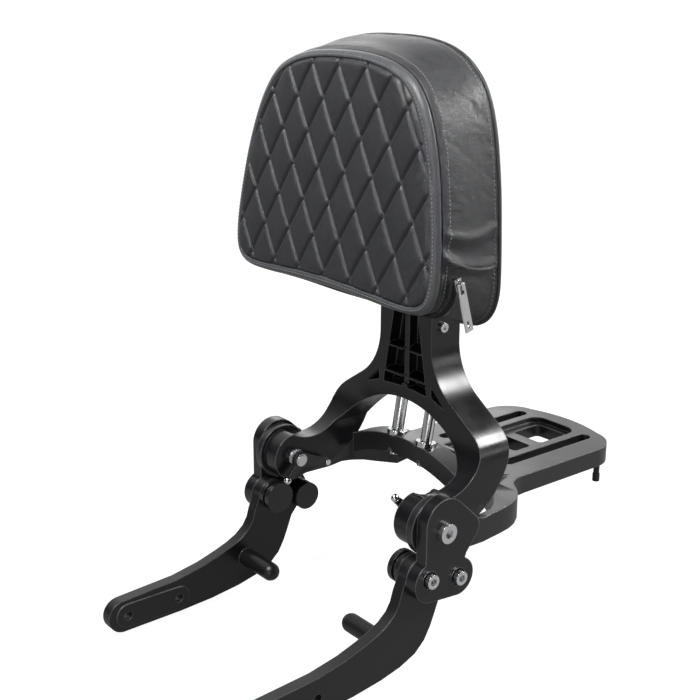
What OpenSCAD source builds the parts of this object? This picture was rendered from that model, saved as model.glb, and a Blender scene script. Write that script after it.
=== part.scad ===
// Quick-release passenger backrest with a luggage rack, in millimetres.
// X runs across, +X is the rider's left, -Y is the front, Z is up.
// The pivot axis passes through Y = 0, Z = 0 before the final shift.

/* [Pivot stack] */
// inner face of the mast hubs
hub_in = 90; // [84:1:96]
// outer face of the mast hubs
hub_out = 110; // [106:1:114]
// radius of the mast hubs
hub_r = 24; // [20:0.5:26]
// thickness of the rack lugs
lug_t = 8; // [6:0.5:10]
// thickness of the side plates
plate_t = 13; // [9:0.5:16]
// radius of the rack lug discs
lug_r = 27.5; // [25:0.5:28.5]
// height of the side plates above the pivots
plate_top = 31; // [27:0.5:35]
// gap between stacked castings
stack_gap = 0.3; // [0.2:0.05:0.6]
// pivot bolt shank radius
bolt_r = 5; // [4:0.5:6]
// radial clearance of bolts in their bores
bolt_gap = 0.1; // [0.05:0.05:0.3]

/* [Mast] */
// half width of the mast column
col_half = 36.5; // [30:0.5:42]
// front face of the column
col_front = 65; // [60:0.5:70]
// front to back depth of the column
col_depth = 36; // [28:0.5:42]
// height of the arch crown above the pivots
arch_top = 73; // [66:0.5:80]
// height at which the arch meets the inner faces of the hubs
arch_foot = 26.2; // [24:0.2:34]
// top of the mast behind the pad
mast_top = 318; // [280:1:340]
// radius of the shoulder fillets
shoulder_r = 60; // [50:1:66]
// depth of the front pockets
pocket_d = 13; // [6:0.5:18]
// thickness of the pocket ribs
rib_t = 6; // [4:0.5:9]

/* [Pad] */
// lean of the pad front, millimetres back per millimetre up
pad_lean = 0.096; // [0:0.004:0.2]
// front of the pad at the middle diamond row
pad_front = -20; // [-30:0.5:-10]
// height of the middle diamond row
quilt_z = 273; // [260:0.5:290]
// width of one diamond
quilt_w = 36.8; // [28:0.2:46]
// height of one diamond
quilt_h = 59.3; // [48:0.2:72]
// depth of the quilting grooves
quilt_d = 4.5; // [2:0.25:6]
// back of the pad
pad_back = 59; // [50:0.5:62]
// thickness of the vinyl skin
skin_t = 2.5; // [2:0.25:4]

/* [Rack] */
// half width of the rack platform
rack_half = 80; // [70:1:92]
// front of the flat platform
deck_front = 138; // [130:1:150]
// rear end of the platform
deck_rear = 306; // [280:1:330]
// half width of the middle recess
recess_w = 30; // [24:0.5:33]
// front end of the strap slots
slot_front = 158; // [152:1:170]
// distance of the pegs from the middle
peg_x = 66; // [62:0.5:68]
// radius of the pegs
peg_r = 3.2; // [2.5:0.1:4]
// how far the pegs hang below the platform
peg_drop = 24; // [16:0.5:32]
// top of the platform
deck_z = -3; // [-10:0.5:4]
// height of the platform rim
rim_h = 19; // [15:0.5:26]
// width of the strap slots
slot_w = 14; // [10:0.5:16]
// distance of the strap slots from the middle
slot_x = 46; // [42:0.5:50]
// top of the front bar
bar_top = 31; // [24:0.5:38]
// distance of the posts from the middle
post_x = 21; // [16:0.5:26]
// radius of the posts
post_r = 6; // [5:0.25:8]

/* [Docking] */
// radius of the docking spools
spool_r = 15.5; // [12:0.5:18]
// thickness of the bracket arms
arm_t = 12; // [8:0.5:14]
// docking bolt shank radius
dock_r = 4; // [3:0.5:5]
// bracket bolt hole radius
fix_r = 4.2; // [3.2:0.1:5.4]
// distance between the bracket bolt holes
fix_gap = 56; // [44:1:70]

/* [Hidden] */
// rear shift that puts the front bracket hole axis at the origin
org_y = 186;
// height shift that puts the front bracket hole axis at the origin
org_z = 121;
// start of the rack lugs
lug_in = hub_out + stack_gap;
// start of the side plates
plate_in = lug_in + lug_t + stack_gap;
// outer face of the side plates
plate_out = plate_in + plate_t;
// bore radius of the pivot stack
pivot_bore = bolt_r + bolt_gap;
// back face of the column
col_back = col_front + col_depth;
// inner face of the bracket arms
arm_in = plate_in - stack_gap - arm_t;
// outer end of the spools
spool_out = arm_in - stack_gap;
// inner face of the latch levers
lever_in = hub_in - 10.6;
// middle of the long arm's end in Y and Z
lever_tip = [33, 10.5];
// docking bolt positions, front then rear
dock = [[-17, -41], [17, -48]];
// bore radius of the docking stack
dock_bore = dock_r + bolt_gap;
// bracket holes, front then rear
fix = [[-org_y, -org_z], [-org_y + fix_gap, -org_z]];
// gap between soft pieces and their neighbours
soft_gap = 0.3;
// pad bolt heights and half spacing
pad_bolt_z = [240, 296];
// half spacing of the pad bolts
pad_bolt_x = 22;
// lean of the posts in degrees
post_lean = 10;
// post foot position along Y
post_y = 75.5;
// skin face under the zip slider
zip_x = 143.3;
// pin of the zip pull in Y and Z
zip_pin = [-9, 226];
// tilt of the zip slider seen from the side
zip_tilt = 16;
// foot of the mast seat behind the pad
seat_z = 188;
// depth of the peg holes
peg_seat = 11;

// outline points of the pad, right half from the crown to the keel
rear_half = [[0, 412.5], [24, 412.2], [49, 410], [74, 404], [95, 392.5], [111, 374],
    [122, 344], [129, 300], [132, 260], [133.5, 220], [132, 199], [126, 186],
    [116, 177.5], [100, 173], [60, 171], [0, 170.5]];
outer_half = [[0, 403], [25, 402.3], [47, 400], [71, 394.5], [93, 384], [110, 365],
    [123, 338], [133, 303], [140, 262], [142.5, 235], [141, 215], [134, 203],
    [119, 197], [90, 196], [45, 197.5], [0, 198]];
inner_half = [[0, 396.5], [25, 395.8], [45, 393.5], [67, 388], [88, 377], [104, 357],
    [116, 331], [126, 299], [133, 262], [135.5, 236], [133.5, 217], [126.5, 208],
    [112, 204], [88, 204.5], [45, 206.5], [0, 207.5]];

function mirror_half(h) = [for (i = [1:len(h) - 2]) [-h[len(h) - 1 - i][0], h[len(h) - 1 - i][1]]];
function ring(h) = concat(h, mirror_half(h));
function cat(a, b, c, d, t) = 0.5 * (2 * b + (c - a) * t + (2 * a - 5 * b + 4 * c - d) * t * t
    + (3 * b - a - 3 * c + d) * t * t * t);
function smooth(r, k) = let (n = len(r)) [for (i = [0:n - 1]) for (j = [0:k - 1])
    cat(r[(i + n - 1) % n], r[i], r[(i + 1) % n], r[(i + 2) % n], j / k)];
// outline moved in by g towards the pad middle
function inset(r, g) = [for (p = r) let (c = [0, (p[1] > 330) ? 330 : (p[1] < 240) ? 240 : p[1]],
    v = p - c, l = norm(v)) c + v * (l - g) / l];
// ring lifted off the leaning front plane by depth d
function on_front(r, d) = [for (p = r) [p[0], pad_front + pad_lean * (p[1] - quilt_z) + d, p[1]]];
// ring on an upright plane
function on_plane(r, y) = [for (p = r) [p[0], y, p[1]]];
// ring between the front outline and the rear outline
function between(a, b, t) = [for (i = [0:len(a) - 1]) a[i] * (1 - t) + b[i] * t];

rear_ring = smooth(ring(rear_half), 3);
outer_ring = smooth(ring(outer_half), 3);
inner_ring = smooth(ring(inner_half), 3);

// closed solid through a list of rings running front to back
module loft(rings) {
    n = len(rings[0]);
    m = len(rings);
    mid_a = [0, rings[0][0][1] - pad_lean * (rings[0][0][2] - 300) * ((rings[0][0][1] ==
        rings[0][floor(n / 2)][1]) ? 0 : 1), 300];
    mid_b = [0, rings[m - 1][0][1] - pad_lean * (rings[m - 1][0][2] - 300) *
        ((rings[m - 1][0][1] == rings[m - 1][floor(n / 2)][1]) ? 0 : 1), 300];
    pts = concat([for (r = rings) for (p = r) p], [mid_a, mid_b]);
    sides = [for (k = [0:m - 2]) for (i = [0:n - 1]) for (s = [0, 1])
        let (a = k * n + i, b = k * n + (i + 1) % n)
        (s == 0) ? [a, a + n, b] : [b, a + n, b + n]];
    cap_a = [for (i = [0:n - 1]) [m * n, i, (i + 1) % n]];
    cap_b = [for (i = [0:n - 1]) [m * n + 1, (m - 1) * n + (i + 1) % n, (m - 1) * n + i]];
    polyhedron(points = pts, faces = concat(sides, cap_a, cap_b), convexity = 6);
}

// extrude a YZ profile along X from a to b
module along_x(a, b) {
    translate([a, 0, 0])
        rotate([90, 0, 90])
            linear_extrude(b - a)
                children();
}

// extrude an XZ profile along Y from a to b
module along_y(a, b) {
    translate([0, b, 0])
        rotate([90, 0, 0])
            linear_extrude(b - a)
                children();
}

// round bar along X through a point given in Y and Z
module rod_x(a, b, y, z, r) {
    translate([a, y, z])
        rotate([0, 90, 0])
            cylinder(h = b - a, r = r, $fn = 96);
}

// six sided socket along X
module hex_x(a, b, y, z, r) {
    translate([a, y, z])
        rotate([0, 90, 0])
            cylinder(h = b - a, r = r, $fn = 6);
}

// both sides of the machine
module both() {
    children();
    mirror([1, 0, 0])
        children();
}

module at_origin() {
    translate([0, org_y, org_z])
        children();
}

module disc(y, z, r) {
    translate([y, z])
        circle(r = r, $fn = 96);
}

// rise and radius of the arch between the hubs
arch_rise = arch_top - arch_foot;
arch_r = (hub_in * hub_in + arch_rise * arch_rise) / (2 * arch_rise);
// shoulder fillets run from the column down to this angle
shoulder_a = 56.4;
// height of the fillet centres
shoulder_z = 135;
// end of a fillet, where the leg's straight slope starts
shoulder_end = [col_half + shoulder_r * (1 - cos(shoulder_a)), shoulder_z - shoulder_r * sin(shoulder_a)];
// outer edge of a leg from the fillet down to the foot
leg_edge = [shoulder_end, [80, 74], [90.5, 67], [98.5, 60.5], [104.5, 53.5], [108.3, 45.5],
    [hub_out, 36]];
function mirror_x(e) = [for (i = [len(e) - 1:-1:0]) [-e[i][0], e[i][1]]];

// front view of the mast, arch cut out
module mast_front() {
    // stays inside the fillet circle, which trims it to a true arc
    chord = [col_half + shoulder_r * 0.24, shoulder_z - shoulder_r * 0.56];
    half = concat([[col_half, shoulder_z], chord], leg_edge);
    difference() {
        polygon(concat([[-hub_out, -40]], mirror_x(half), [[-col_half, 190], [-30, 206],
            [-30, mast_top], [30, mast_top], [30, 206], [col_half, 190]], half,
            [[hub_out, -40]]));
        disc(-col_half - shoulder_r, shoulder_z, shoulder_r);
        disc(col_half + shoulder_r, shoulder_z, shoulder_r);
        // straight inner faces below the arch
        polygon([[-hub_in, -60], [-hub_in, arch_foot], [20 - hub_in, arch_foot + 8],
            [hub_in - 20, arch_foot + 8], [hub_in, arch_foot], [hub_in, -60]]);
    }
}

// side view of the mast, column, rear bend and foot
module mast_side() {
    difference() {
        polygon([[-hub_r, -hub_r], [-hub_r, hub_r], [0, hub_r], [22, 17], [32, 32],
            [50, 50], [col_front, 60], [col_front, seat_z - 12],
            [pad_back + soft_gap, seat_z], [pad_back + soft_gap, mast_top],
            [col_front + 16, mast_top], [col_front + 16, 230], [col_back, 190],
            [col_back, 58 - (col_back - 22)], [22, 60 - (col_back - 22)], [0, -hub_r]]);
        // inside of the bend
        disc(22, 60, col_front - 22);
        // outside of the bend
        difference() {
            polygon([[22, 60], [22, -60], [140, -60], [140, 60]]);
            disc(22, 60, col_back - 22);
        }
        // nose of the hub
        difference() {
            polygon([[0, 40], [0, -40], [-40, -40], [-40, 40]]);
            disc(0, 0, hub_r);
        }
        disc(0, 0, pivot_bore);
    }
}

// outer edge of a bay, which spreads towards the arch
function bay_edge(z) = 14 + (176 - z) * 0.19;

// one bay of the front between the central rib and its outer edge
module bay(s, lo, hi) {
    along_y(col_front - 1, col_front + pocket_d)
        polygon([[s * rib_t / 2, lo], [s * rib_t / 2, hi], [s * bay_edge(hi), hi],
            [s * bay_edge(lo), lo - 2]]);
}

// three bays a side with sloping shelves between them, and a small bay beside the lowest
module mast_pockets() {
    for (s = [-1, 1]) {
        bay(s, 127, 176);
        bay(s, 100, 121);
        bay(s, 85, 94);
        // the shelves fall away towards the front
        for (z = [127, 100])
            along_x((s > 0) ? rib_t / 2 : -bay_edge(z), (s > 0) ? bay_edge(z) : -rib_t / 2)
                polygon([[col_front - 1, z + 0.1], [col_front + 9, z + 0.1], [col_front - 1, z - 5]]);
        along_y(col_front - 1, col_front + pocket_d)
            polygon([[s * 37.5, 94], [s * 37.5, 83.5], [s * 57, 76]]);
    }
    // front of the central rib stands back from the rim
    along_y(col_front - 1, col_front + 2.5)
        polygon([[-rib_t / 2 - 1, 88], [-rib_t / 2 - 1, 174], [rib_t / 2 + 1, 174], [rib_t / 2 + 1, 88]]);
}

module mast() {
    color("#222326")
        at_origin()
            difference() {
                intersection() {
                    along_y(-60, 130)
                        mast_front();
                    along_x(-hub_out - 5, hub_out + 5)
                        mast_side();
                }
                mast_pockets();
                // round arch down to its foot
                intersection() {
                    along_y(-61, 131)
                        disc(0, arch_top - arch_r, arch_r);
                    translate([-150, -61, arch_foot])
                        cube([300, 192, 100]);
                }
                // side screw holes
                both()
                    rod_x(col_half - 16, col_half + 2, 79, 150, 2.6);
                // pad bolt holes
                for (s = [-1, 1])
                    for (z = pad_bolt_z)
                        translate([s * pad_bolt_x, col_back + 10, z])
                            rotate([90, 0, 0])
                                cylinder(h = 60, r = 4.2, $fn = 64);
                // post sockets in the arch
                for (s = [-1, 1])
                    translate([s * post_x, post_y, bar_top])
                        rotate([-post_lean, 0, 0])
                            cylinder(h = 66, r = post_r + 0.2, $fn = 64);
            }
}

module mast_screws() {
    color("#c9ccd0")
        at_origin()
            both() {
                rod_x(col_half - 12, col_half, 79, 150, 2.5);
                difference() {
                    rod_x(col_half + 0.02, col_half + 3, 79, 150, 4.6);
                    hex_x(col_half + 1.4, col_half + 4, 79, 150, 2.2);
                }
                rod_x(col_half - 0.5, col_half + 1.2, 79, 150, 2.5);
            }
}

// quarter arc of points round a corner, from a0 to a1 degrees
function arc(y, z, r, a0, a1, n = 8) = [for (i = [0:n]) [y + r * cos(a0 + (a1 - a0) * i / n),
    z + r * sin(a0 + (a1 - a0) * i / n)]];

module board_plan() {
    polygon(concat(arc(92, 205, 22, -90, 3.6), arc(74, 362, 30, 3.6, 90),
        arc(-74, 362, 30, 90, 176.4), arc(-92, 205, 22, 176.4, 270)));
}

module pad_board() {
    color("#33302c")
        at_origin()
            difference() {
                along_y(pad_back - skin_t - soft_gap - 9, pad_back - skin_t - soft_gap)
                    board_plan();
                for (s = [-1, 1])
                    for (z = pad_bolt_z)
                        translate([s * pad_bolt_x, pad_back, z])
                            rotate([90, 0, 0])
                                cylinder(h = 20, r = 4.05, $fn = 64);
            }
}

// room inside the skin, g is the extra inset
module pad_core(g, front) {
    loft([
        on_front(inset(outer_ring, 5 + g), front),
        on_front(inset(outer_ring, 2 + g), 12 + front / 4),
        on_plane(inset(between(outer_ring, rear_ring, 0.6), 1 + g), 30),
        on_plane(inset(rear_ring, 3.2 + g), pad_back - 13),
        on_plane(inset(rear_ring, 8 + g), pad_back - skin_t - g)
    ]);
}

// outside of the skin, grown by g
module pad_skin(g = 0) {
    loft([
        on_front(inset(outer_ring, 1.5 - g), 2.2),
        on_front(inset(outer_ring, -g), 4.2),
        on_front(inset(between(outer_ring, rear_ring, 0.15), -2.6 - g), 18),
        on_plane(inset(between(outer_ring, rear_ring, 0.72), -3.2 - g), 30),
        on_plane(inset(rear_ring, -0.6 - g), pad_back - 12),
        on_plane(inset(rear_ring, 1.2 - g), pad_back - 6),
        on_plane(inset(rear_ring, 6 - g), pad_back)
    ]);
}

module pad_cover() {
    color("#2c2d30")
        at_origin()
            difference() {
                pad_skin();
                pad_core(0, 1.4);
                loft([on_front(inset(outer_ring, 2.4), -4), on_front(inset(outer_ring, 2.4), 6)]);
                for (s = [-1, 1])
                    for (z = pad_bolt_z)
                        translate([s * pad_bolt_x, pad_back + 2, z])
                            rotate([90, 0, 0])
                                cylinder(h = 8, r = 5, $fn = 32);
            }
}

module pad_foam() {
    color("#8b8b86")
        at_origin()
            loft([
                on_front(inset(outer_ring, 7), 9),
                on_plane(inset(between(outer_ring, rear_ring, 0.6), 3), 30),
                on_plane(inset(rear_ring, 6), pad_back - 13)
            ]);
}

// groove cutter along one quilting line through a lattice point
module quilt_line(x, side) {
    ang = atan2(quilt_h / 2, quilt_w / 2);
    translate([x, pad_front, quilt_z])
        rotate([-atan(pad_lean), 0, 0])
            rotate([0, -side * ang, 0])
                rotate([0, 90, 0])
                    linear_extrude(560, center = true)
                        polygon([[-9, -3], [-9, -0.6], [-5, 0.2], [-2, 1.4], [0, quilt_d], [2, 1.4],
                            [5, 0.2], [9, -0.6], [9, -3]]);
}

module pad_panel() {
    color("#303134")
        at_origin()
            difference() {
                loft([
                    on_front(inset(inner_ring, 1.6), -1.4),
                    on_front(inset(inner_ring, 0.3), 0.4),
                    on_front(inset(inner_ring, 0.3), 8.2)
                ]);
                for (k = [-7:7])
                    for (side = [-1, 1])
                        quilt_line(k * quilt_w, side);
            }
}

module pad_border() {
    color("#37383b")
        at_origin()
            difference() {
                loft([
                    on_front(inset(outer_ring, 4.2), 0.6),
                    on_front(inset(outer_ring, 2.7), 2.0),
                    on_front(inset(outer_ring, 2.7), 5.8)
                ]);
                loft([on_front(inner_ring, -3), on_front(inner_ring, 9)]);
            }
}

module pad_bolts() {
    color("#b9bcc0")
        at_origin()
            for (s = [-1, 1])
                for (z = pad_bolt_z) {
                    translate([s * pad_bolt_x, col_front + 16.02, z])
                        rotate([90, 0, 0])
                            cylinder(h = col_front + 16 - pad_back + 10, r = 4, $fn = 64);
                    difference() {
                        translate([s * pad_bolt_x, col_front + 22, z])
                            rotate([90, 0, 0])
                                cylinder(h = 6, r = 7, $fn = 64);
                        translate([s * pad_bolt_x, col_front + 23, z])
                            rotate([90, 0, 0])
                                cylinder(h = 4, r = 3.4, $fn = 6);
                    }
                }
}

// skin ring at part t of the way across the front flank, grown by g
function skin_at(t, g) = let (a = on_front(inset(outer_ring, -g), 4.2),
    b = on_front(inset(between(outer_ring, rear_ring, 0.15), -2.6 - g), 18))
    [for (i = [0:len(a) - 1]) a[i] * (1 - t) + b[i] * t];

// band that runs round the lower half of the pad flanks
module zip_tape() {
    lo = skin_at(0.42, 0.3);
    lo_out = skin_at(0.42, 1.4);
    hi = skin_at(0.98, 0.3);
    hi_out = skin_at(0.98, 1.4);
    first = 27;
    count = 36;
    pts = [for (i = [first:first + count]) for (r = [lo, lo_out, hi_out, hi]) r[i]];
    sides = [for (k = [0:count - 1]) for (q = [0:3]) for (s = [0, 1])
        let (a = k * 4 + q, b = k * 4 + (q + 1) % 4)
        (s == 0) ? [a, b, a + 4] : [b, b + 4, a + 4]];
    last = count * 4;
    caps = [[0, 3, 2], [0, 2, 1], [last, last + 1, last + 2], [last, last + 2, last + 3]];
    color("#18191b")
        at_origin()
            polyhedron(points = pts, faces = concat(sides, caps), convexity = 4);
}

// frame of the zip slider with its pin at the middle
module zip_frame() {
    translate([zip_x + 6.4, zip_pin[0], zip_pin[1]])
        rotate([zip_tilt, 0, 0])
            children();
}

module rod_y(a, b, r) {
    translate([0, b, 0])
        rotate([90, 0, 0])
            cylinder(h = b - a, r = r, $fn = 32);
}

module zip_slider() {
    color("#c4c6c9")
        at_origin()
            zip_frame()
                difference() {
                    union() {
                        translate([-4.6, -3.5, -6])
                            cube([2.4, 7, 11]);
                        translate([-2.4, -0.8, -4])
                            cube([4.8, 1.6, 7.5]);
                    }
                    rod_y(-3, 3, 1.2);
                }
}

module zip_pull() {
    color("#d4d6d9")
        at_origin()
            zip_frame()
                union() {
                    // cross pin through the slider loop
                    rod_y(-3.4, 3.4, 1.12);
                    difference() {
                        translate([-0.8, -4, -42])
                            cube([1.6, 8, 43.6]);
                        translate([-2, -1.9, -8])
                            cube([4, 3.8, 12]);
                        translate([-2, -1.5, -38.5])
                            cube([4, 3, 6]);
                    }
                }
}

// plan of the platform with its rounded rear corners
module deck_plan() {
    union() {
        polygon([[-rack_half, deck_front], [-rack_half, 262], [rack_half, 262],
            [rack_half, deck_front]]);
        difference() {
            union() {
                disc(-rack_half + 36, deck_rear - 44, 36);
                disc(rack_half - 36, deck_rear - 44, 36);
                polygon([[-44, 255], [-44, 298], [44, 298], [44, 255]]);
                intersection() {
                    disc(0, deck_rear - 140, 140);
                    polygon([[-56, 270], [-56, 310], [56, 310], [56, 270]]);
                }
            }
        }
    }
}

// slot with rounded ends
module slot(x, w, a, b) {
    polygon([[x - w / 2, a + w / 2], [x - w / 2, b - w / 2], [x + w / 2, b - w / 2],
        [x + w / 2, a + w / 2]]);
    disc(x, b - w / 2, w / 2);
    disc(x, a + w / 2, w / 2);
}

// hole of half width w with round corners
module square_hole(w, a, b) {
    r = 5;
    polygon([[r - w, a], [-w, a + r], [-w, b - r], [r - w, b], [w - r, b], [w, b - r], [w, a + r],
        [w - r, a]]);
    for (x = [r - w, w - r])
        for (y = [a + r, b - r])
            disc(x, y, r);
}

// front view of the bar arch
module bar_arch() {
    difference() {
        union() {
            disc(0, bar_top - 190, 190);
        }
        disc(0, bar_top - 19 - 170, 170);
        polygon([[-300, -500], [-300, -26], [300, -26], [300, -500]]);
    }
}

// plan of an arm's outer edge, a soft bend from the lug to the platform corner
arm_bend = [[lug_in + lug_t, 82], [lug_in + lug_t - 0.7, 94], [lug_in + lug_t - 3.5, 104],
    [lug_in + lug_t - 9, 113], [lug_in + lug_t - 17, 120.5], [rack_half + 12, 126.5],
    [rack_half + 5, 132.5], [rack_half + 1, 141], [rack_half, 152]];

module rack_arm() {
    // lug, sweep and shoulder of one side
    intersection() {
        along_x(40, plate_in)
            union() {
                disc(0, 0, lug_r);
                polygon([[0, -lug_r], [24, -31.2], [60, -32], [100, -28], [128, -24], [140, -22],
                    [deck_front + 20, deck_z - rim_h], [deck_front + 20, deck_z], [118, deck_z],
                    [100, deck_z - 1], [80, -6], [60, -8], [44, -3], [32, 5], [22, 19]]);
            }
        translate([0, 0, -60])
            linear_extrude(120)
                polygon(concat([[lug_in, -40], [lug_in, 76], [105, 85], [96, 94], [62, 112],
                    [62, deck_front + 20], [rack_half, deck_front + 20]],
                    [for (i = [len(arm_bend) - 1:-1:0]) arm_bend[i]], [[lug_in + lug_t, -40]]));
    }
}

module rack() {
    color("#3a3b3d")
        at_origin()
            difference() {
                union() {
                    translate([0, 0, deck_z - rim_h])
                        linear_extrude(rim_h)
                            deck_plan();
                    // front bar and sloping side rails
                    intersection() {
                        along_x(-rack_half + 1, rack_half - 1)
                            polygon([[66, bar_top - 80], [66, bar_top + 10], [88, bar_top + 10],
                                [88, bar_top - 80]]);
                        along_y(60, 100)
                            bar_arch();
                    }
                    for (s = [-1, 1])
                        for (x = [62, 19])
                            translate([s * x - 8, 0, 0])
                                along_x(0, 16)
                                    rack_slope_bar((x > 40) ? 12 : 1);
                    both()
                        rack_arm();
                }
                // slots in the platform
                translate([0, 0, deck_z - rim_h - 1])
                    linear_extrude(rim_h + 2) {
                        slot(-slot_x, slot_w, slot_front, deck_rear - 21);
                        slot(slot_x, slot_w, slot_front, deck_rear - 21);
                        // two squarish holes with a web between them
                        for (y = [[-104, -80], [-66, -27]])
                            square_hole(20, deck_rear + y[0], deck_rear + y[1]);
                    }
                // wide shallow recess along the middle
                translate([0, 0, deck_z - 6])
                    linear_extrude(8)
                        union() {
                            polygon([[-recess_w, 146], [-recess_w, deck_rear - 34],
                                [recess_w, deck_rear - 34], [recess_w, 146]]);
                            disc(-recess_w + 15, deck_rear - 34, 15);
                            disc(recess_w - 15, deck_rear - 34, 15);
                            polygon([[15 - recess_w, deck_rear - 34], [15 - recess_w, deck_rear - 19],
                                [recess_w - 15, deck_rear - 19], [recess_w - 15, deck_rear - 34]]);
                        }
                // bores of the pivot
                rod_x(-plate_out, plate_out, 0, 0, pivot_bore);
                // spot faces and screw holes of the posts
                for (s = [-1, 1])
                    post_frame(s) {
                        translate([0, 0, -40])
                            cylinder(h = 60, r = 3.2, $fn = 48);
                        translate([0, 0, -3.5])
                            cylinder(h = 14, r = 10.6, $fn = 72);
                        translate([0, 0, -34])
                            cylinder(h = 17, r = 6.2, $fn = 48);
                    }
                // hollow underside inside the rim
                translate([0, 0, deck_z - rim_h - 1])
                    linear_extrude(rim_h - 9)
                        for (s = [-1, 1])
                            polygon([[s * (slot_x + slot_w / 2 + 5), 150],
                                [s * (slot_x + slot_w / 2 + 5), deck_rear - 50],
                                [s * (rack_half - 7), deck_rear - 50], [s * (rack_half - 7), 150]]);
                // peg holes
                for (s = [-1, 1])
                    translate([s * peg_x, deck_rear - 28, deck_z - rim_h - 1])
                        cylinder(h = peg_seat + 1, r = peg_r + 0.1, $fn = 48);
            }
}

// one sloping rail from the bar down to the platform
module rack_slope_bar(drop) {
    polygon([[80, bar_top - 17 - drop], [80, bar_top - 2 - drop], [88, bar_top - 2 - drop],
        [deck_front + 4, deck_z], [deck_front + 4, deck_z - rim_h], [124, deck_z - rim_h + 2]]);
}

module rack_pegs() {
    color("#1c1d1f")
        at_origin()
            for (s = [-1, 1])
                translate([s * peg_x, deck_rear - 28, deck_z - rim_h - peg_drop])
                    union() {
                        cylinder(h = peg_drop + peg_seat - 0.3, r = peg_r, $fn = 48);
                        cylinder(h = 8, r = peg_r + 0.6, $fn = 48);
                    }
}

// local frame of a post, Z along its axis from the bar
module post_frame(s) {
    translate([s * post_x, post_y, bar_top])
        rotate([-post_lean, 0, 0])
            children();
}

module post_shape(s) {
    post_frame(s)
        difference() {
            translate([0, 0, 1.8])
                cylinder(h = 61, r = post_r, $fn = 72);
            // row of notches down one side
            for (i = [0:3])
                translate([-post_r - 3, -post_r, 9 + i * 9])
                    cube([5.4, 2 * post_r, 4.2]);
            // screw thread bore
            translate([0, 0, 0])
                cylinder(h = 15, r = 3.05, $fn = 48);
        }
}

module post_left() {
    color("#d6d8da")
        at_origin()
            post_shape(1);
}

module post_right() {
    color("#d6d8da")
        at_origin()
            post_shape(-1);
}

module post_flanges() {
    color("#d0d2d4")
        at_origin()
            for (s = [-1, 1])
                post_frame(s)
                    difference() {
                        translate([0, 0, -3.4])
                            cylinder(h = 5, r = 10, $fn = 72);
                        translate([0, 0, -5])
                            cylinder(h = 10, r = 3.1, $fn = 48);
                    }
}

module post_screws() {
    color("#9c9fa3")
        at_origin()
            for (s = [-1, 1])
                post_frame(s) {
                    translate([0, 0, -18])
                        cylinder(h = 31, r = 3, $fn = 48);
                    translate([0, 0, -23.1])
                        cylinder(h = 6, r = 5.5, $fn = 48);
                }
}

// side plate outline, a shield with two docking lobes
module plate_side() {
    top_r = plate_top - 8;
    difference() {
        polygon(concat(arc(1, 8, top_r, 180, 46.2, 24), arc(28, -4, 13, 46.2, -38, 12),
            [[26, -27], [24.5, -31]], arc(dock[1][0], dock[1][1], 18, 52, -88, 24),
            arc(dock[0][0] + 2, dock[0][1] - 3, 19, -92, -235, 24), [[1 - top_r, -26]]));
        disc(0, 0, pivot_bore);
        for (d = dock)
            disc(d[0], d[1], dock_bore);
    }
}

module plate_body() {
    difference() {
        along_x(plate_in, plate_out)
            plate_side();
        // counterbores of the docking bolts
        for (d = dock)
            rod_x(plate_out - 3, plate_out + 1, d[0], d[1], 8);
    }
}

module plate_left() {
    color("#232427")
        at_origin()
            plate_body();
}

module plate_right() {
    color("#232427")
        at_origin()
            mirror([1, 0, 0])
                plate_body();
}

module pivot_bolts() {
    color("#c9ccd0")
        at_origin()
            both()
                union() {
                    rod_x(lever_in - 2.4, plate_out, 0, 0, bolt_r);
                    difference() {
                        rod_x(plate_out - 0.01, plate_out + 5, 0, 0, 9);
                        hex_x(plate_out + 1.5, plate_out + 6, 0, 0, 4.6);
                    }
                }
}

// flanged nut on the hub and a thin clip that keeps the lever on the bolt
module pivot_nuts() {
    color("#b9bcc0")
        at_origin()
            both() {
                difference() {
                    union() {
                        rod_x(hub_in - 3, hub_in - 0.3, 0, 0, 8.8);
                        hex_x(hub_in - 6, hub_in - 2.5, 0, 0, 8.2);
                    }
                    rod_x(hub_in - 8, hub_in + 1, 0, 0, bolt_r + 0.05);
                }
                difference() {
                    rod_x(lever_in - 1.5, lever_in - 0.3, 0, 0, 6.4);
                    rod_x(lever_in - 2, lever_in + 1, 0, 0, bolt_r + 0.05);
                }
            }
}

// latch lever of hand f, an eye with a long arm and a short ball arm
module lever_shape(f) {
    difference() {
        union() {
            rod_x(lever_in, lever_in + 4.2, 0, 0, 8);
            along_x(lever_in, lever_in + 4.2) {
                polygon([[1, f * 7.8], [32.5, f * 13.8], [33.5, f * 7.4], [4, -f * 6.8]]);
                polygon([[4, f * 6.8], [-6.5, f * 4.6], [-16, f * 15], [-11, f * 19]]);
            }
            along_x(lever_in, lever_in + 4.2)
                disc(lever_tip[0], f * lever_tip[1], 4);
        }
        rod_x(lever_in - 2, lever_in + 6, 0, 0, bolt_r + 0.05);
    }
}

module lever_left() {
    color("#202124")
        at_origin()
            lever_shape(1);
}

module lever_right() {
    color("#202124")
        at_origin()
            mirror([1, 0, 0])
                lever_shape(-1);
}

module tips_shape(f) {
    // ball on the short arm and round cap on the long arm
    translate([lever_in + 2.1, -15.4, f * 19.2])
        sphere(r = 3.8, $fn = 48);
    rod_x(lever_in - 1.8, lever_in - 0.02, lever_tip[0], f * lever_tip[1], 3);
}

module tips_left() {
    color("#d8dadc")
        at_origin()
            tips_shape(1);
}

module tips_right() {
    color("#d8dadc")
        at_origin()
            mirror([1, 0, 0])
                tips_shape(-1);
}

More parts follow.
